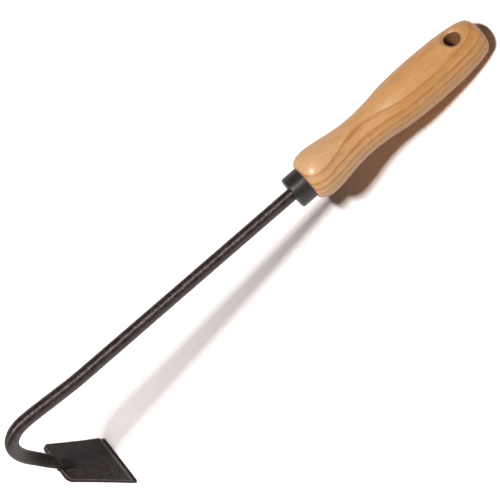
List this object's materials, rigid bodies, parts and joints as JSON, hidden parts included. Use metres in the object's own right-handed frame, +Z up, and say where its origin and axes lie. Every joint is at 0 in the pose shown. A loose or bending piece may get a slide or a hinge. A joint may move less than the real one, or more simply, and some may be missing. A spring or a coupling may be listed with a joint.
{
  "type": "hand draw hoe",
  "caption": "Short-handled draw hoe: a trapezoid blade welded to a swan-neck forged bar, steel ferrule and turned ash grip with a hanging hole.",
  "frame": {"origin": "centre of the bounding box's bottom: on the ground plane that the cutting edge and the butt of the handle rest on", "axes": "+X along the tool from the blade to the butt of the handle, +Y across the blade, +Z up from the ground"},
  "size_m": [0.386, 0.0422, 0.1256],
  "materials": {
    "ash_wood": "clear lacquered ash, semi-gloss, golden tan with grain along the handle",
    "ferrule_steel": "blackened steel, satin, dark warm grey",
    "forged_steel": "forged steel bar under a dark oil or lacquer, semi-gloss, slightly rough",
    "blade_steel": "dark steel plate under the same coating, faintly mottled, satin",
    "weld_steel": "dark coated weld bead, slightly lumpy"
  },
  "bodies": {
    "root": {"handle": "ash_wood", "ferrule": "ferrule_steel", "shank": "forged_steel", "blade": "blade_steel", "tongue_weld": "weld_steel", "heel_weld": "weld_steel"}
  },
  "joints": []
}
